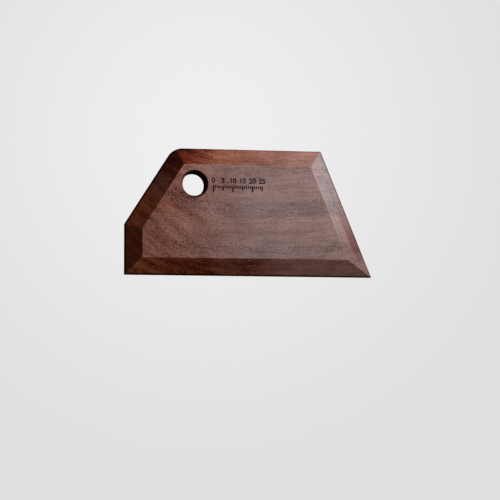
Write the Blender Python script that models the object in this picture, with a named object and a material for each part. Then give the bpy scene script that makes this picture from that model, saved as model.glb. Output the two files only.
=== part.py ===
# Hand scraper: one piece of walnut with five straight edges, bevelled alike on both faces,
# and a hole near its rounded corner to hang it by. Metres, +Z up.
# It stands on its long working edge with the front face towards -Y, and the middle of that
# edge is at the origin.

import math

import bmesh
import bpy
from mathutils import Vector

MM = 0.001

# Outline, measured at the rim, where the scraper is widest.
LENGTH = 127.0 * MM            # long working edge, tip to tip
HEIGHT = 64.5 * MM             # working edge to top edge
SHORT_EDGE_HEIGHT = 25.5 * MM  # upright edge at the left end
SLANT_RUN = 24.8 * MM          # how far in from the left the slanted edge ends
RAKE_RUN = 26.1 * MM           # how far the raked edge leans in from the right tip

# Section through an edge.
THICKNESS = 9.5 * MM
BEVEL_WIDTH = 8.7 * MM         # across the face, from the bevel's arris to the rim
RAKED_BEVEL_WIDTH = 9.0 * MM   # the raked edge's bevel is a little wider
RIM_THICKNESS = 2.1 * MM       # between the two bevels, all of it rounded over
FACE_CORNER_RADIUS = 0.25 * MM  # where the bevel of the rounded corner runs out on the face

# Hanging hole.
HOLE_DIAMETER = 11.8 * MM
HOLE_FROM_LEFT = 35.0 * MM
HOLE_FROM_TOP = 18.5 * MM
HOLE_EASING = 1.2 * MM         # chamfer where the hole meets each face
CUTTER_OVERSHOOT = 1.0 * MM    # how far the hole's cutter stands out of each face

WALNUT_COLOUR = (0.118, 0.060, 0.045, 1.0)
WALNUT_ROUGHNESS = 0.55

# Number of straight steps that stand for each curve.
CORNER_STEPS = 14
RIM_STEPS = 5                  # from the middle of the rim to one bevel
HOLE_STEPS = 64

SMOOTH_BELOW = math.radians(25.0)

# Worked out from the sizes above.
CORNER_RADIUS = BEVEL_WIDTH + FACE_CORNER_RADIUS
BEVEL_DEPTH = (THICKNESS - RIM_THICKNESS) / 2
BEVEL_ANGLE = math.atan2(BEVEL_DEPTH, BEVEL_WIDTH)
RIM_TURN = math.pi / 2 - BEVEL_ANGLE
RIM_RADIUS = (RIM_THICKNESS / 2) / math.tan(RIM_TURN / 2)

LEFT = -LENGTH / 2
RIGHT = LENGTH / 2
ROUNDED_CORNER = 2             # its place in the list of corners


def clear_scene():
    for thing in list(bpy.data.objects):
        bpy.data.objects.remove(thing, do_unlink=True)


def corners():
    """The outline's corners, clockwise from the lower left as seen from the front: (x, z), and
    the width of the bevel on the edge that runs on from there."""
    return [
        (Vector((LEFT, 0.0)), BEVEL_WIDTH),
        (Vector((LEFT, SHORT_EDGE_HEIGHT)), BEVEL_WIDTH),
        (Vector((LEFT + SLANT_RUN, HEIGHT)), BEVEL_WIDTH),
        (Vector((RIGHT - RAKE_RUN, HEIGHT)), RAKED_BEVEL_WIDTH),
        (Vector((RIGHT, 0.0)), BEVEL_WIDTH),
    ]


def outline(share):
    """The outline drawn in by a share of each bevel's width, as (x, z) points."""
    points = []
    shape = corners()
    for i, (corner, width) in enumerate(shape):
        last_corner, last_width = shape[i - 1]
        towards_last = (last_corner - corner).normalized()
        towards_next = (shape[(i + 1) % len(shape)][0] - corner).normalized()
        opening = towards_last.angle(towards_next)
        if i != ROUNDED_CORNER:
            drawn_in = towards_last * width + towards_next * last_width
            points.append(corner + drawn_in * (share / math.sin(opening)))
            continue
        bisector = (towards_last + towards_next).normalized()
        centre = corner + bisector * (CORNER_RADIUS / math.sin(opening / 2))
        middle = math.atan2(-bisector.y, -bisector.x)
        for step in range(CORNER_STEPS + 1):
            angle = middle + (math.pi - opening) * (0.5 - step / CORNER_STEPS)
            outwards = Vector((math.cos(angle), math.sin(angle)))
            points.append(centre + outwards * (CORNER_RADIUS - share * width))
    return points


def edge_section():
    """The section from the back face to the front face: how far in from the rim, as a share
    of the bevel's width, and how far above the middle of the thickness."""
    half = [(1.0, THICKNESS / 2)]
    for step in range(RIM_STEPS, 0, -1):
        angle = RIM_TURN * step / RIM_STEPS
        inset = RIM_RADIUS * (1 - math.cos(angle))
        half.append((inset / BEVEL_WIDTH, RIM_RADIUS * math.sin(angle)))
    back = [(share, -rise) for share, rise in half]
    return back + [(0.0, 0.0)] + half[::-1]


def loft(name, rings):
    """A closed solid through rings of the same number of points, capped at both ends."""
    bm = bmesh.new()
    loops = [[bm.verts.new(point) for point in ring] for ring in rings]
    for ring, following in zip(loops, loops[1:]):
        for i in range(len(ring)):
            j = (i + 1) % len(ring)
            bm.faces.new((ring[i], ring[j], following[j], following[i]))
    bm.faces.new(loops[0])
    bm.faces.new(loops[-1])
    bmesh.ops.recalc_face_normals(bm, faces=bm.faces)
    mesh = bpy.data.meshes.new(name)
    bm.to_mesh(mesh)
    bm.free()
    solid = bpy.data.objects.new(name, mesh)
    bpy.context.scene.collection.objects.link(solid)
    return solid


def walnut():
    material = bpy.data.materials.new("walnut")
    material.use_nodes = True
    shader = material.node_tree.nodes["Principled BSDF"]
    shader.inputs["Base Color"].default_value = WALNUT_COLOUR
    shader.inputs["Roughness"].default_value = WALNUT_ROUGHNESS
    shader.inputs["Metallic"].default_value = 0.0
    material.diffuse_color = WALNUT_COLOUR
    return material


def scraper_body():
    rings = []
    for share, rise in edge_section():
        rings.append([(point.x, -rise, point.y) for point in outline(share)])
    body = loft("scraper_body", rings)
    body.data.materials.append(walnut())
    return body


def hole_cutter():
    """The hanging hole with its eased rims, standing a little out of both faces."""
    radius = HOLE_DIAMETER / 2
    face = THICKNESS / 2
    flared = radius + HOLE_EASING + CUTTER_OVERSHOOT
    section = [
        (flared, -face - CUTTER_OVERSHOOT),
        (radius, -face + HOLE_EASING),
        (radius, face - HOLE_EASING),
        (flared, face + CUTTER_OVERSHOOT),
    ]
    rings = []
    for ring_radius, rise in section:
        ring = []
        for step in range(HOLE_STEPS):
            angle = 2 * math.pi * step / HOLE_STEPS
            ring.append((ring_radius * math.cos(angle), -rise, ring_radius * math.sin(angle)))
        rings.append(ring)
    cutter = loft("hanging_hole_cutter", rings)
    cutter.location = (LEFT + HOLE_FROM_LEFT, 0.0, HEIGHT - HOLE_FROM_TOP)
    cutter.hide_render = True
    cutter.display_type = "WIRE"
    return cutter


def cut(body, cutter):
    hole = body.modifiers.new("hanging hole", "BOOLEAN")
    hole.operation = "DIFFERENCE"
    hole.solver = "EXACT"
    hole.object = cutter


clear_scene()
body = scraper_body()
cut(body, hole_cutter())
body.data.shade_smooth()
body.data.set_sharp_from_angle(angle=SMOOTH_BELOW)
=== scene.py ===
from math import atan2, cos, hypot, pi, radians, sin
import bmesh
import bpy
from mathutils import Matrix, Vector


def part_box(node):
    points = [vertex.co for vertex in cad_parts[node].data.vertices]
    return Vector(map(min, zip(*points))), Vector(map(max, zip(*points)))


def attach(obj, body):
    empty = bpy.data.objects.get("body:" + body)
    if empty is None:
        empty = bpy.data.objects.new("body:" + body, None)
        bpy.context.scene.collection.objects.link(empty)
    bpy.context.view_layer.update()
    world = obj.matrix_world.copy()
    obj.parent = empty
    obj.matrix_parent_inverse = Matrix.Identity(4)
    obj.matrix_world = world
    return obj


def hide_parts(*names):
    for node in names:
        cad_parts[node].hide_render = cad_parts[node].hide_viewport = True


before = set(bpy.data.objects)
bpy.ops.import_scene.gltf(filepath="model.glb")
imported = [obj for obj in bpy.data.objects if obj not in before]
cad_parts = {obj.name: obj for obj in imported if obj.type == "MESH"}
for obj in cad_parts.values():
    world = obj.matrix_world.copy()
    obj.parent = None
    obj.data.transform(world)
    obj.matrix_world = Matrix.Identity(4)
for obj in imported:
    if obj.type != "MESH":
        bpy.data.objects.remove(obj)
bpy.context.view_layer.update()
lowCorner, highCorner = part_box("scraper_body")
boardSize = highCorner - lowCorner
boardMiddle = (highCorner + lowCorner) / 2
mm = 0.001
print("frame loaded:", [round(side / mm, 1) for side in boardSize], "mm")


# Camera first, at the place the photograph was taken from.

camera = {
    "place": (-0.18011, -0.99071, -0.08879),
    "heading": radians(10.337),  # right of straight ahead
    "pitch": radians(5.794),     # looking up
    "roll": radians(-0.187),
    "lens": 144.0,
    "sensor": 36.0,
    "clip": (0.01, 20.0),
}


def addCamera():
    bpy.ops.object.camera_add(location=camera["place"])
    eye = bpy.context.object
    eye.name = "photoCamera"
    heading = Matrix.Rotation(-camera["heading"], 4, "Z")
    pitch = Matrix.Rotation(pi / 2 + camera["pitch"], 4, "X")
    roll = Matrix.Rotation(camera["roll"], 4, "Z")
    eye.rotation_euler = (heading @ pitch @ roll).to_euler()
    eye.data.lens = camera["lens"]
    eye.data.sensor_width = camera["sensor"]
    eye.data.clip_start, eye.data.clip_end = camera["clip"]
    bpy.context.scene.camera = eye


addCamera()
print("camera set")


# Selecting and editing.

nearly = 0.01 * mm              # places this close count as the same


def workOn(piece):
    bpy.ops.object.select_all(action="DESELECT")
    piece.select_set(True)
    bpy.context.view_layer.objects.active = piece


def selectEdges(piece, wanted):
    bpy.ops.mesh.select_mode(type="EDGE")
    bpy.ops.mesh.select_all(action="DESELECT")
    bm = bmesh.from_edit_mesh(piece.data)
    for edge in bm.edges:
        if wanted(edge):
            edge.select_set(True)
    bmesh.update_edit_mesh(piece.data)


def liesAt(edge, depth):        # both ends this far from the middle of the thickness, on one side
    first, second = (v.co.y for v in edge.verts)
    return abs(abs(first) - depth) < nearly and abs(first - second) < nearly


def applyTo(piece, kind, **settings):
    workOn(piece)
    modifier = piece.modifiers.new(kind.lower(), kind)
    for name, value in settings.items():
        setattr(modifier, name, value)
    bpy.ops.object.modifier_apply(modifier=modifier.name)


# The scraper: a board sawn to its outline, then planed, rounded over, drilled and engraved.

scraper = {
    "uprightEnd": 25.5 * mm,    # height of the upright left end
    "slantRun": 24.8 * mm,      # how far the slanted end leans in
    "rakeRun": 26.1 * mm,       # how far the raked end leans in
    "bevel": 8.7 * mm,
    "rakedBevel": 9.0 * mm,
    "rim": 2.1 * mm,            # left between the bevels, then rounded over
    "rounded": 0.999,           # share of half the rim, so that the two roundings just miss each other
    "roundedFrom": 1.46 * mm,   # where the rounding starts, out from the middle of the thickness
    "cornerRadius": 8.95 * mm,
    "cornerSteps": 12,
    "rimSteps": 8,
    "arris": 0.34 * mm,         # how much the sanding took off each arris
    "arrisSteps": 3,
    "curveBelow": radians(10.5),    # a shallower fold is part of a curve, a steeper one an arris
    "smoothBelow": radians(30),     # shading runs on over a shallower fold
    "flatFrom": 0.99,           # how squarely a flat face looks forwards or back
    "weld": 0.06 * mm,          # for slivers where the bevels meet
    "fineWeld": 0.005 * mm,
}


def outlineEdges():
    left, bottom = lowCorner.x, lowCorner.z
    right, top = highCorner.x, highCorner.z
    corners = [
        Vector((left, 0, bottom)),
        Vector((left, 0, bottom + scraper["uprightEnd"])),
        Vector((left + scraper["slantRun"], 0, top)),
        Vector((right - scraper["rakeRun"], 0, top)),
        Vector((right, 0, bottom)),
    ]
    widths = [scraper["bevel"]] * 5
    widths[3] = scraper["rakedBevel"]
    edges = []
    for i, corner in enumerate(corners):
        along = (corners[(i + 1) % 5] - corner).normalized()
        edges.append((corner, Vector((-along.z, 0, along.x)), widths[i]))
    return edges


def cornerArc(edges):
    (_, outFirst, width), (corner, outSecond, _) = edges[1], edges[2]
    radius = scraper["cornerRadius"]
    bisector = (outFirst + outSecond).normalized()
    centre = corner - bisector * radius / bisector.dot(outFirst)
    first = atan2(outFirst.z, outFirst.x)
    sweep = atan2(outSecond.z, outSecond.x) - first
    steps = scraper["cornerSteps"]
    arc = []
    for step in range(1, steps):
        angle = first + sweep * step / steps
        outwards = Vector((cos(angle), 0, sin(angle)))
        arc.append((centre + outwards * radius, outwards, width))
    return arc


def planeOff(point, outwards):
    bpy.ops.mesh.select_all(action="SELECT")
    bpy.ops.mesh.bisect(plane_co=point, plane_no=outwards.normalized(), use_fill=True,
                        clear_outer=True, threshold=nearly / 10)


def sawAndPlane():
    edges = outlineEdges()
    arc = cornerArc(edges)
    for point, outwards, _ in [edges[1], edges[3]] + arc:
        planeOff(point, outwards)
    edges += arc
    depth = (boardSize.y - scraper["rim"]) / 2
    for side in (-1, 1):
        offRim = Vector((0, side * scraper["rim"] / 2, 0))
        for point, outwards, width in edges:
            planeOff(point + offRim, outwards * depth + Vector((0, side * width, 0)))
    bpy.ops.mesh.select_all(action="SELECT")
    bpy.ops.mesh.remove_doubles(threshold=scraper["weld"])


def roundRim(piece):
    half = scraper["rim"] / 2
    selectEdges(piece, lambda edge: liesAt(edge, half))
    bpy.ops.mesh.bevel(offset=half * scraper["rounded"], segments=scraper["rimSteps"], profile=0.5)
    bpy.ops.mesh.select_all(action="SELECT")
    bpy.ops.mesh.remove_doubles(threshold=scraper["fineWeld"])


def softenArrises(piece):
    def isArris(edge):
        return len(edge.link_faces) == 2 and edge.calc_face_angle() > scraper["curveBelow"]

    selectEdges(piece, isArris)
    bpy.ops.mesh.bevel(offset=scraper["arris"], segments=scraper["arrisSteps"], profile=0.5,
                       offset_type="OFFSET", clamp_overlap=True)


hole = {
    "fromLeft": 35.0 * mm,
    "fromTop": 18.5 * mm,
    "radius": 5.9 * mm,
    "sides": 96,
    "easing": 1.2 * mm,
    "easingSteps": 5,
    "burnt": 0.9,               # how dark the bore is: burnt by the drill, and on its wall partly painted shade
    "rubbed": 0.6,              # and how much of that is rubbed off its eased rim at the lower left
    "rubbedSide": (-0.94, -0.34),
    "rubbedFrom": (0.5, 0.8),   # shares of the radius
    "rubbedTilt": (0.2, 0.6),   # the bore itself isn't rubbed
}
holeCentre = Vector((lowCorner.x + hole["fromLeft"], 0, highCorner.z - hole["fromTop"]))


def drill(piece):
    bpy.ops.object.select_all(action="DESELECT")
    bpy.ops.mesh.primitive_cylinder_add(
        vertices=hole["sides"], radius=hole["radius"], depth=boardSize.y * 2,
        location=holeCentre, rotation=(pi / 2, 0, 0))
    bit = bpy.context.object
    applyTo(piece, "BOOLEAN", operation="DIFFERENCE", object=bit)
    bpy.data.objects.remove(bit)
    bpy.ops.object.mode_set(mode="EDIT")

    def onHoleRim(edge):
        reach = [hypot(v.co.x - holeCentre.x, v.co.z - holeCentre.z) for v in edge.verts]
        return liesAt(edge, boardSize.y / 2) and max(reach) < hole["radius"] + 2 * nearly

    selectEdges(piece, onHoleRim)
    bpy.ops.mesh.bevel(offset=hole["easing"], segments=hole["easingSteps"], profile=0.5)
    bpy.ops.object.mode_set(mode="OBJECT")


# A short ruler beside the hole, engraved by burning.

ruler = {
    "start": Vector((-18.9, 0, 0)) * mm,
    "length": 25,               # in mm, one tick each
    "numbersAt": 46.7 * mm,     # foot of the numbers
    "numberSize": 3.6 * mm,
    "numberSteps": 4,           # in each curve of a number
    "ticksFrom": 45.3 * mm,     # top of the ticks
    "tick": 1.5 * mm,
    "fiveTick": 2.4 * mm,
    "tenTick": 3.2 * mm,
    "line": 0.56 * mm,
    "boldLine": 0.74 * mm,      # every fifth tick
    "bolder": 0.11 * mm,        # how much the numbers' strokes are thickened
    "depth": 0.30 * mm,
    "burntFrom": (0.02, 0.08),  # in mm under the face
    "burntUntil": (1.0, 0.8),
    "burntAlong": (16.0, 15.9),  # in mm from its middle
    "burntUp": (5.0, 4.9),      # and from the top of the ticks
}


def rulerTicks():
    ticks = []
    for count in range(ruler["length"] + 1):
        long = ruler["tick"]
        if count % 5 == 0:
            long = ruler["tenTick"] if count % 10 == 0 else ruler["fiveTick"]
        place = ruler["start"] + Vector((count * mm, lowCorner.y, ruler["ticksFrom"] - long / 2))
        bpy.ops.object.select_all(action="DESELECT")
        bpy.ops.mesh.primitive_cube_add(size=1, location=place)
        tick = bpy.context.object
        line = ruler["boldLine"] if count % 5 == 0 else ruler["line"]
        tick.scale = (line, ruler["depth"] * 2, long)
        bpy.ops.object.transform_apply(location=True, rotation=True, scale=True)
        ticks.append(tick)
    return ticks


def rulerNumbers():
    numbers = []
    for count in range(0, ruler["length"] + 1, 5):
        bpy.ops.object.select_all(action="DESELECT")
        bpy.ops.object.text_add()
        number = bpy.context.object
        number.data.body = str(count)
        number.data.align_x = "CENTER"
        number.data.size = ruler["numberSize"]
        number.data.resolution_u = ruler["numberSteps"]
        number.data.offset = ruler["bolder"]
        number.data.extrude = ruler["depth"]
        bpy.ops.object.convert(target="MESH")
        number = bpy.context.object
        number.rotation_euler = (pi / 2, 0, 0)
        number.location = ruler["start"] + Vector((count * mm, lowCorner.y, ruler["numbersAt"]))
        bpy.ops.object.transform_apply(location=True, rotation=True, scale=True)
        bpy.ops.object.mode_set(mode="EDIT")
        bpy.ops.mesh.select_all(action="SELECT")
        bpy.ops.mesh.remove_doubles(threshold=nearly / 10)
        bpy.ops.mesh.normals_make_consistent(inside=False)
        bpy.ops.object.mode_set(mode="OBJECT")
        numbers.append(number)
    return numbers


def engrave(piece):
    for stroke in rulerTicks() + rulerNumbers():
        applyTo(piece, "BOOLEAN", operation="DIFFERENCE", object=stroke)
        bpy.data.objects.remove(stroke)


def makeScraper():
    bpy.ops.object.select_all(action="DESELECT")
    bpy.ops.mesh.primitive_cube_add(size=1, location=boardMiddle)
    piece = bpy.context.object
    piece.name = "walnutScraper"
    piece.scale = boardSize
    bpy.ops.object.transform_apply(location=True, rotation=True, scale=True)
    bpy.ops.object.mode_set(mode="EDIT")
    sawAndPlane()
    roundRim(piece)
    softenArrises(piece)
    bpy.ops.object.mode_set(mode="OBJECT")
    print("planed and rounded:", len(piece.data.polygons), "faces")
    drill(piece)
    print("drilled:", len(piece.data.polygons), "faces")
    engrave(piece)
    workOn(piece)
    bpy.ops.object.shade_smooth_by_angle(angle=scraper["smoothBelow"])
    applyTo(piece, "WEIGHTED_NORMAL", keep_sharp=True)
    print("engraved:", len(piece.data.polygons), "faces")
    return piece


walnutScraper = makeScraper()


# Shader maths: a wire is one output socket, and maths on wires adds nodes.

class Wire:
    def __init__(self, tree, socket=None):
        self.tree = tree
        self.socket = socket

    def add(self, kind, settings=None, values=None, output=0):
        node = self.tree.nodes.new(kind)
        for name, value in (settings or {}).items():
            setattr(node, name, value)
        for name, value in (values or {}).items():
            if isinstance(value, Wire):
                self.tree.links.new(value.socket, node.inputs[name])
            else:
                node.inputs[name].default_value = value
        return Wire(self.tree, node.outputs[output] if node.outputs else None)

    def out(self, name):
        return Wire(self.tree, self.socket.node.outputs[name])

    def maths(self, operation, first, second=0.0):
        return self.add("ShaderNodeMath", {"operation": operation}, {0: first, 1: second})

    def __add__(self, other):
        return self.maths("ADD", self, other)

    def __sub__(self, other):
        return self.maths("SUBTRACT", self, other)

    def __rsub__(self, other):
        return self.maths("SUBTRACT", other, self)

    def __mul__(self, other):
        return self.maths("MULTIPLY", self, other)

    def __truediv__(self, other):
        return self.maths("DIVIDE", self, other)

    def __rtruediv__(self, other):
        return self.maths("DIVIDE", other, self)

    def __pow__(self, other):
        return self.maths("POWER", self, other)

    def __neg__(self):
        return self.maths("MULTIPLY", self, -1.0)

    __radd__ = __add__
    __rmul__ = __mul__

    def above(self, floor):
        return self.maths("MAXIMUM", self, floor)

    def below(self, ceiling):
        return self.maths("MINIMUM", self, ceiling)

    def size(self):
        return self.maths("ABSOLUTE", self)

    def ramp(self, start, end):     # 0 at start, 1 at end, smooth between
        values = {"Value": self, "From Min": start, "From Max": end}
        return self.add("ShaderNodeMapRange", {"interpolation_type": "SMOOTHSTEP"}, values)

    def vector(self, x, y, z):
        return self.add("ShaderNodeCombineXYZ", None, {"X": x, "Y": y, "Z": z})

    def noise(self, place, detail=2.0, roughness=0.5):      # between -0.5 and 0.5
        values = {"Vector": place, "Scale": 1.0, "Detail": detail, "Roughness": roughness}
        return self.add("ShaderNodeTexNoise", None, values) - 0.5

    def mix(self, factor, first, second, blend="MIX"):      # its colours are inputs 6 and 7, output 2
        settings = {"data_type": "RGBA", "blend_type": blend}
        return self.add("ShaderNodeMix", settings, {0: factor, 6: first, 7: second}, output=2)

    def scale(self, colour, amount):
        return self.add("ShaderNodeVectorMath", {"operation": "SCALE"}, {0: colour, "Scale": amount})

    def join(self, operation, first, second):
        return self.add("ShaderNodeVectorMath", {"operation": operation}, {0: first, 1: second})


def newMaterial(name):
    material = bpy.data.materials.new(name)
    material.use_nodes = True
    material.node_tree.nodes.clear()
    return material, Wire(material.node_tree)


def weigh(layers, weights):
    return sum(layers[name] * weight for name, weight in weights.items())


# The grain of the board: bent fibres, and layers of streaks laid along them. Lengths in mm.

grain = {
    "steepFrom": -6.0,          # left of here the fibres climb
    "steepRadius": 66.0,
    "gentleFrom": 5.0,          # and right of here, more gently
    "gentleRadius": 380.0,
    "wander": ((34.0, 16.0, 13.0), 2.0, 5.0),   # size and detail of the fibres' straying, and how far
    "stray": ((50.0, 20.0, 22.0), 1.0, 3.0),    # the same through the thickness
    "pith": (38.0, -30.0),      # the tree's middle: how far behind, how far below
    "layers": {                 # length, height and depth of a streak, then detail and roughness
        "patches": (13.0, 4.5, 6.0, 2.0, 0.5),
        "broad": (30.0, 1.7, 1.7, 3.0, 0.6),
        "silver": (44.0, 0.8, 0.8, 2.0, 0.5),
        "fine": (7.0, 0.5, 0.5, 2.0, 0.6),
        "mottle": (1.1, 0.6, 0.6, 4.0, 0.7),
        "hairs": (4.0, 0.16, 0.16, 2.0, 0.6),
    },
    "ringLayers": {             # length and width, where they start, then detail and roughness
        "band": (120.0, 4.2, 3.7, 3.0, 0.55),
        "lines": (90.0, 1.1, 9.1, 2.0, 0.6),
    },
    "silverFrom": (0.10, 0.24),     # only the brightest of the silver shows
    "ringBand": 0.9,
    "bands": (                  # middle, half width and strength of the broad bands, up the grain
        (33.3, 5.2, 0.60),
        (12.0, 3.4, 0.45),
        (52.0, 4.0, 0.25),
        (25.6, 3.6, -0.70),
        (40.6, 3.2, -0.55),
    ),
    "bandEdge": (0.45, 1.3),    # shares of the half width between which a band fades
    "strengths": {"broad": 0.42, "patches": 0.70, "lines": 0.45, "silver": 0.12, "fine": 0.45,
                  "hairs": 0.25, "mottle": 1.3, "band": -0.18},
    "leftStrengths": {"patches": 0.70, "mottle": 2.0},      # what the livelier left end adds
    "leftBevelStrengths": {"broad": 0.60, "lines": 0.85, "mottle": -1.1},
    "rakedStrengths": {"mottle": -0.3},
    "leftEnd": (-40.0, 5.0),    # along X
    "leftShift": 20.0,          # how much further right it reaches on the bevels
    "pores": (                  # length and width of a cell, where it starts, share that holds a pore
        (1.9, 0.44, 0.0, 0.60),
        (1.1, 0.38, 41.0, 0.60),
        (1.3, 0.80, 83.0, 0.18),
    ),
    "poreReach": 0.40,          # of its cell, at most
    "poreEdge": (0.7, 1.2),
    "noPore": 0.001,            # the reach of a cell without one
    "poresLeast": 0.5,          # in the pale bands; they are deepest in the dark ones
    "poresFrom": (-0.05, 0.85),
}


def grainLayers(start, x, y, z):
    left = (grain["steepFrom"] - x).above(0.0)
    right = (x - grain["gentleFrom"]).above(0.0)
    climb = left * left / (2 * grain["steepRadius"]) + right * right / (2 * grain["gentleRadius"])

    def straying(sizes, detail):
        return start.noise(start.vector(x / sizes[0], y / sizes[1], z / sizes[2]), detail)

    sizes, detail, far = grain["wander"]
    layers = {"wander": straying(sizes, detail)}
    across = z - climb + layers["wander"] * far
    sizes, detail, far = grain["stray"]
    through = y + straying(sizes, detail) * far

    for name, (length, height, depth, detail, roughness) in grain["layers"].items():
        cell = start.vector(x / length, across / height, through / depth)
        layers[name] = start.noise(cell, detail, roughness)
    layers["silver"] = layers["silver"].ramp(*grain["silverFrom"])

    back, below = grain["pith"]
    behind, above = through - back, across - below
    ring = (behind * behind + above * above) ** 0.5
    for name, (length, width, seed, detail, roughness) in grain["ringLayers"].items():
        layers[name] = start.noise(start.vector(x / length, ring / width, seed), detail, roughness)

    band = layers["band"] * grain["ringBand"]
    inner, outer = grain["bandEdge"]
    for middle, width, strength in grain["bands"]:
        band = band + (1 - (across - middle).size().ramp(width * inner, width * outer)) * strength
    layers["band"] = band
    least = grain["poresLeast"]
    deep = least + (1 - least) * band.ramp(*grain["poresFrom"])
    layers["pores"] = openPores(start, x, across, through) * deep
    return layers


def openPores(start, x, across, through):       # dashes along the fibres, dots where they are cut
    pores = None
    for length, width, seed, share in grain["pores"]:
        cell = start.vector(x / length + seed, across / width, through / width)
        voronoi = start.add("ShaderNodeTexVoronoi", None, {"Vector": cell, "Scale": 1.0})
        pick = start.add("ShaderNodeSeparateColor", None, {"Color": voronoi.out("Color")})
        reach = pick.out("Red").ramp(1 - share, 1.0) * grain["poreReach"]
        layer = 1 - (voronoi.out("Distance") / (reach + grain["noPore"])).ramp(*grain["poreEdge"])
        pores = layer if pores is None else pores.above(layer)
    return pores


# Oiled black walnut, solid all the way through. Lengths and places in mm.

walnut = {
    "warm": (0.172, 0.046, 0.018, 1),
    # the grey end of the colour: the wood's grey tone with painted sheen
    "greyAndSheen": (0.192, 0.125, 0.119, 1),
    # a cool grey for the painted sheen on the raked bevel
    "sheenGrey": (0.161, 0.129, 0.134, 1),
    "warmFleck": (0.172, 0.070, 0.037, 1),  # what a lighter fleck adds, and a darker one takes away
    "greyFleck": (0.190, 0.142, 0.139, 1),
    "darkest": (0.004, 0.0016, 0.001),
    "oilAndShade": (0.36, 0.15, 0.11, 1),           # what a deep drink of oil leaves of a colour; also the tint of painted shade
    # the painted highlight along the arrises
    "light": (0.300, 0.165, 0.130, 1),
    # dark of the pores, also the painted shade on the raked rim
    "poreAndShade": (0.022, 0.008, 0.005, 1),
    "scorch": (0.036, 0.004, 0.001, 1),
    # the bore: burnt, and on its wall partly painted shade
    "boreBurnAndShade": (0.014, 0.006, 0.004, 1),
    "facesFrom": (0.945, 0.985),    # how squarely a face looks forwards or back, a bevel less so
    "endsFrom": (0.06, 0.40),       # how much a surface cuts across the fibres
    "slantsFrom": (0.05, 0.22),     # the same, but only where it looks left
    "arrisFrom": (0.930, 0.945),    # an arris lies between bevel and face
    "arrisUntil": (0.982, 0.998),
    "rimEdge": 0.15,                # in mm
    "faceGreyAndSheen": (0.30, 0.65, -48.0, 8.0),   # grey tone and painted sheen: least, what is added, and from where to where along X
    # on the bevels likewise, grey tone and painted sheen
    "bevelGreyAndSheen": (0.0, 0.59, -45.0, 40.0),
    "bandGrey": 0.10,
    "rakedFrom": (20.0, 40.0),              # along X
    "rakedSheen": (0.55, 0.45, 10.0, 45.0),   # painted sheen on the raked bevel: the same as for grey, but up Z
    "poreStrength": 0.64,
    "stainBlur": 12.0,
    "bevelPatchesAndShadow": (                # middle, from, to, strength of the darker patches
        ((-40.0, 68.0), 8.0, 34.0, 0.56),
        # painted shadow across the middle of the bottom bevel
        ((-20.0, 0.0), 10.0, 44.0, 0.42),
        ((-4.0, 64.0), 4.0, 26.0, 0.08),
        ((28.0, 64.0), 4.0, 22.0, -0.14),
        ((42.0, 54.0), 2.0, 14.0, 0.09),
    ),
    # painted shade on the surfaces that look left
    "slantShade": (
        ((-38.0, 68.0), 4.0, 24.0, 0.45),
        ((-56.0, 32.0), 3.0, 15.0, -0.20),
    ),
    "greyStains": (
        ((-46.0, 48.0), 2.0, 12.0, 0.30),
    ),
    "faceStains": (
        ((-38.0, 37.0), 2.0, 13.0, 0.27),
        ((-38.0, 8.0), 4.0, 20.0, 0.16),
        ((-26.0, 56.0), 3.0, 16.0, -0.25),
        ((-38.0, 24.0), 2.0, 15.0, -0.27),
        ((2.0, 38.0), 2.0, 18.0, -0.12),
    ),
    "lowRightShade": ((5.0, 45.0), (30.0, 5.0), 0.18),   # painted shade: along X, up Z, and how much darker
    "tip": ((45.0, 6.0), (0.0, 30.0)),              # where the tip is darker, as painted shade, and rougher: down Z, and along X
    "outer": ((5.4, 3.4), (20.0, 30.0)),            # towards the raked edge, and along X
    "outerUp": ((6.0, 16.0), (62.0, 16.0)),         # where it comes in, and where it fades again
    # oil drunk by the end grain and towards the raked edge; at the tip and on the surfaces that look
    # left, painted shade
    "drinkAndShade": {"endGrain": 0.14, "tip": 0.36, "outer": 0.45, "slanted": 0.48, "most": 0.9},
    # painted shade along the rounded rim
    "rimShade": 0.35,
    "rakedRimShade": (0.55, (5.0, 35.0)),         # painted shade on the raked edge, more of it higher up
    # painted highlight along the arrises
    "arrisHighlight": 0.16,
    "roughness": 0.55,
    "rougher": {"endGrain": 0.02, "tip": 0.22, "rim": 0.2, "fine": 0.16, "pores": 0.25,
                "arris": -0.08, "scorch": 0.3},
    "relief": {"fine": 0.012, "pores": -0.06, "broad": 0.02},   # in mm
    "bump": 0.7,
    "gloss": 0.07,
    "dullGloss": 0.0,           # the worn rim, and the bore as the drill left it
}


def rising(along, values):
    least, added, begin, end = values
    return least + added * along.ramp(begin, end)


def stains(x, z, blur, patches):
    total = 0.0
    for (middleX, middleZ), near, far, strength in patches:
        besideX, besideZ = x - middleX, z - middleZ
        away = (besideX * besideX + besideZ * besideZ) ** 0.5 + blur
        total = total + (1 - away.ramp(near, far)) * strength
    return total


def burnt(x, y, z, tilt, bored):                # the engraved ruler, and the bore, burnt and partly painted shade
    depth = y - lowCorner.y / mm
    sunk = depth.ramp(*ruler["burntFrom"]) * depth.ramp(*ruler["burntUntil"])
    middle = ruler["start"].x / mm + ruler["length"] / 2
    beside = (x - middle).size().ramp(*ruler["burntAlong"])
    scorch = sunk * beside * (z - ruler["ticksFrom"] / mm).size().ramp(*ruler["burntUp"])
    if not bored:
        return scorch
    sideX, sideZ = hole["rubbedSide"]
    towards = (x - holeCentre.x / mm) * sideX + (z - holeCentre.z / mm) * sideZ
    rubbed = (towards / (hole["radius"] / mm)).ramp(*hole["rubbedFrom"]) * tilt.ramp(*hole["rubbedTilt"])
    return scorch.above(hole["burnt"] - hole["rubbed"] * rubbed)


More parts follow.
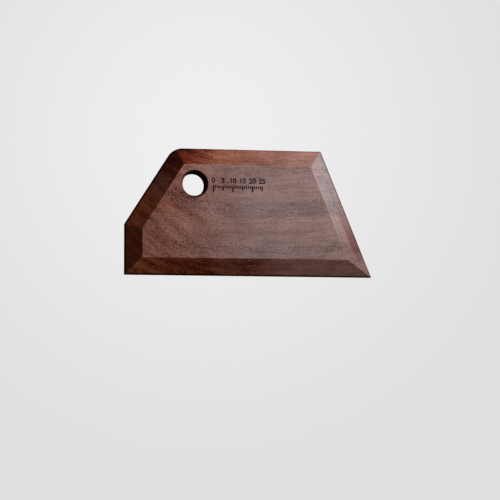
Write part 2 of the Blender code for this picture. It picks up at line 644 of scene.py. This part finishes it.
def walnutMaterial(name, gloss, bored=False):
    material, start = newMaterial(name)
    place = start.add("ShaderNodeTexCoord", output="Object")
    axes = start.add("ShaderNodeSeparateXYZ", None, {"Vector": place})
    x, y, z = axes.out("X") / mm, axes.out("Y") / mm, axes.out("Z") / mm
    layers = grainLayers(start, x, y, z)

    # which way the surface faces, and where on the board it is
    facing = start.add("ShaderNodeNewGeometry", output="Normal")
    normal = start.add("ShaderNodeSeparateXYZ", None, {"Vector": facing})
    tilt = normal.out("Y").size()
    face = tilt.ramp(*walnut["facesFrom"])
    bevel = 1 - face
    endGrain = normal.out("X").size().ramp(*walnut["endsFrom"])
    slanted = (-normal.out("X")).ramp(*walnut["slantsFrom"])
    arris = tilt.ramp(*walnut["arrisFrom"]) * (1 - tilt.ramp(*walnut["arrisUntil"]))
    rimAt = scraper["roundedFrom"] / mm
    rim = 1 - y.size().ramp(rimAt - walnut["rimEdge"], rimAt)
    rakedEnd = endGrain * x.ramp(*walnut["rakedFrom"])
    leftEnd = 1 - (x - grain["leftShift"] * bevel).ramp(*grain["leftEnd"])

    # colour: warm to the left and on the bevels, greyer on the face and to the right, the grey partly
    # wood tone and partly painted sheen
    blur = layers["wander"] * walnut["stainBlur"]
    faceGreyAndSheen = rising(x, walnut["faceGreyAndSheen"]) + layers["band"] * walnut["bandGrey"]
    bevelGreyAndSheen = rising(x, walnut["bevelGreyAndSheen"]) + stains(x, z, blur, walnut["greyStains"])
    greyAndSheen = faceGreyAndSheen * face + bevelGreyAndSheen * bevel
    colour = start.mix(greyAndSheen, walnut["warm"], walnut["greyAndSheen"])
    # painted sheen on the raked bevel, stronger higher up
    colour = start.mix(rakedEnd * rising(z, walnut["rakedSheen"]), colour, walnut["sheenGrey"])

    # streaks, mottle and darker patches, among them a painted shadow across the bottom bevel, and
    # painted shade towards the lower right
    alongX, upZ, darker = walnut["lowRightShade"]
    # the bevel patches include a painted shadow across the bottom bevel
    stainAndShade = stains(x, z, blur, walnut["bevelPatchesAndShadow"]) * bevel
    stainAndShade = stainAndShade + stains(x, z, blur, walnut["faceStains"]) * face
    # painted shade, darker towards the lower right
    stainAndShade = stainAndShade + x.ramp(*alongX) * z.ramp(*upZ) * darker
    lift = weigh(layers, grain["strengths"]) + weigh(layers, grain["rakedStrengths"]) * rakedEnd
    lift = lift + weigh(layers, grain["leftStrengths"]) * leftEnd
    lift = lift + weigh(layers, grain["leftBevelStrengths"]) * leftEnd * bevel - stainAndShade
    fleck = start.scale(start.mix(greyAndSheen, walnut["warmFleck"], walnut["greyFleck"]), lift)
    colour = start.join("MAXIMUM", start.join("ADD", colour, fleck), walnut["darkest"])
    colour = start.mix(layers["pores"] * walnut["poreStrength"], colour, walnut["poreAndShade"])

    # fibres cut across drink more oil, more of it towards the rim; the darkening down at the tip and on
    # the surfaces that look left is painted shade
    drinkAndShade = walnut["drinkAndShade"]
    downZ, alongX = walnut["tip"]
    tip = z.ramp(*downZ) * x.ramp(*alongX)
    run, rise = scraper["rakeRun"], boardSize.z
    inward = ((highCorner.x / mm - x) * rise - z * run) / hypot(run, rise)
    near, alongX = walnut["outer"]
    comesIn, fades = walnut["outerUp"]
    outer = inward.ramp(*near) * x.ramp(*alongX) * z.ramp(*comesIn) * z.ramp(*fades)
    # at the tip the darkening is painted shade
    oiledAndShaded = endGrain * (drinkAndShade["endGrain"] + drinkAndShade["tip"] * tip + drinkAndShade["outer"] * outer)
    # painted shade on the surfaces that look left
    oiledAndShaded = oiledAndShaded + slanted * (drinkAndShade["slanted"] + stains(x, z, blur, walnut["slantShade"]))
    colour = start.mix(oiledAndShaded.below(drinkAndShade["most"]), colour, walnut["oilAndShade"], blend="MULTIPLY")

    # painted shade darkens the rounded rim, more of it high on the raked edge, and a painted highlight
    # lightens the arrises a little
    colour = start.mix(rim * walnut["rimShade"], colour, walnut["oilAndShade"], blend="MULTIPLY")
    rimShadeShare, upZ = walnut["rakedRimShade"]
    colour = start.mix(rim * rakedEnd * z.ramp(*upZ) * rimShadeShare, colour, walnut["poreAndShade"])
    colour = start.mix(arris * walnut["arrisHighlight"], colour, walnut["light"])
    # burnt ruler; in the bore, burn and partly painted shade
    scorch = burnt(x, y, z, tilt, bored)
    colour = start.mix(scorch, colour, walnut["boreBurnAndShade" if bored else "scorch"])

    layers.update(endGrain=endGrain, tip=endGrain * tip, rim=rim, arris=arris, scorch=scorch)
    rough = walnut["roughness"] + weigh(layers, walnut["rougher"])
    height = weigh(layers, walnut["relief"])
    bump = start.add("ShaderNodeBump", None,
                     {"Strength": walnut["bump"], "Distance": mm, "Height": height})
    shader = start.add("ShaderNodeBsdfPrincipled", None,
                       {"Base Color": colour, "Roughness": rough, "Normal": bump,
                        "Specular IOR Level": gloss})
    start.add("ShaderNodeOutputMaterial", None, {"Surface": shader})
    return material


def finishScraper(piece):
    piece.data.materials.clear()
    piece.data.materials.append(walnutMaterial("oiledWalnut", walnut["gloss"]))
    piece.data.materials.append(walnutMaterial("boredWalnut", walnut["dullGloss"], bored=True))
    piece.data.materials.append(walnutMaterial("wornRim", walnut["dullGloss"]))
    bored, worn = 1, 2
    for face in piece.data.polygons:
        reach = hypot(face.center.x - holeCentre.x, face.center.z - holeCentre.z)
        if reach < hole["radius"] + hole["easing"] and abs(face.normal.y) < scraper["flatFrom"]:
            face.material_index = bored
        elif abs(face.center.y) < scraper["roundedFrom"]:
            face.material_index = worn


finishScraper(walnutScraper)
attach(walnutScraper, "root")
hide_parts("scraper_body")
print("walnut finished")


# Floor, pale surroundings and soft light.

studio = {
    "floorRadius": 3.0,
    "floorSides": 96,
    "floorDrop": 0.05 * mm,                 # how far under the scraper
    "floorRoughness": 0.9,
    "floorColour": (0.46, 0.46, 0.46, 1),
    "floorThin": 0.7,                       # how much of the backdrop shows through it
    "floorBounce": (0.09, 0.08, 0.08, 1),   # what the floor throws back up at the scraper
    "floorFade": (0.09, 0.36),              # where the floor melts into the backdrop
    "backdrop": 0.74,
    "pool": 0.12,                           # a paler pool behind the scraper
    "poolAt": (0.156, 0.975, 0.158),
    "poolReach": 0.19,
    "fill": 0.09,
    "fillColour": (1.0, 0.92, 0.87, 1),
}


def seenDirectly(start):        # or in a reflection, or through something clear
    ray = start.add("ShaderNodeLightPath", output="Is Camera Ray")
    return ray.above(ray.out("Is Glossy Ray")).above(ray.out("Is Transmission Ray"))


def addFloor():
    bpy.ops.object.select_all(action="DESELECT")
    bpy.ops.mesh.primitive_circle_add(
        vertices=studio["floorSides"], radius=studio["floorRadius"], fill_type="NGON",
        location=(0, 0, -studio["floorDrop"]))
    floor = bpy.context.object
    floor.name = "floor"
    bpy.ops.object.transform_apply(location=True, rotation=True, scale=True)
    material, start = newMaterial("paleFloor")
    seen = seenDirectly(start)
    colour = start.mix(seen, studio["floorBounce"], studio["floorColour"])
    matt = start.add("ShaderNodeBsdfPrincipled", None,
                     {"Base Color": colour, "Roughness": studio["floorRoughness"],
                      "Specular IOR Level": 0.0})
    clear = start.add("ShaderNodeBsdfTransparent")
    under = start.add("ShaderNodeNewGeometry", output="Backfacing")
    place = start.add("ShaderNodeTexCoord", output="Object")
    away = start.add("ShaderNodeVectorMath", {"operation": "LENGTH"}, {0: place}, output="Value")
    thin = studio["floorThin"] + (1 - studio["floorThin"]) * away.ramp(*studio["floorFade"])
    gone = under.above(thin * seen)
    surface = start.add("ShaderNodeMixShader", None, {0: gone, 1: matt, 2: clear})
    start.add("ShaderNodeOutputMaterial", None, {"Surface": surface})
    floor.data.materials.append(material)


def addSurroundings():
    world = bpy.context.scene.world or bpy.data.worlds.new("studio")
    bpy.context.scene.world = world
    world.use_nodes = True
    world.node_tree.nodes.clear()
    start = Wire(world.node_tree)
    seen = seenDirectly(start)
    direction = start.add("ShaderNodeTexCoord", output="Generated")
    off = start.add("ShaderNodeVectorMath", {"operation": "DISTANCE"},
                    {0: direction, 1: studio["poolAt"]}, output="Value")
    pale = studio["backdrop"] + (1 - off.ramp(0.0, studio["poolReach"])) * studio["pool"]
    level = seen * pale + (1 - seen) * studio["fill"]
    tint = start.mix(seen, studio["fillColour"], (1, 1, 1, 1))
    background = start.add("ShaderNodeBackground", None, {"Color": tint, "Strength": level})
    start.add("ShaderNodeOutputWorld", None, {"Surface": background})


lamps = {
    "key": {"towards": (0.80, -0.36, 0.47), "distance": 0.50, "size": 0.26, "power": 7.3},
    "back": {"towards": (0.40, 0.78, 0.55), "distance": 1.1, "size": 0.9, "power": 11.0},
}


def addLamps():
    for name, lamp in lamps.items():
        towards = Vector(lamp["towards"]).normalized()
        bpy.ops.object.light_add(type="AREA", location=boardMiddle + towards * lamp["distance"])
        light = bpy.context.object
        light.name = name + "Lamp"
        light.data.shape = "SQUARE"
        light.data.size = lamp["size"]
        light.data.energy = lamp["power"]
        light.rotation_euler = towards.to_track_quat("Z", "Y").to_euler()
        light.visible_camera = False


addFloor()
addSurroundings()
addLamps()
bpy.context.scene.view_settings.view_transform = "Standard"
print("studio set")
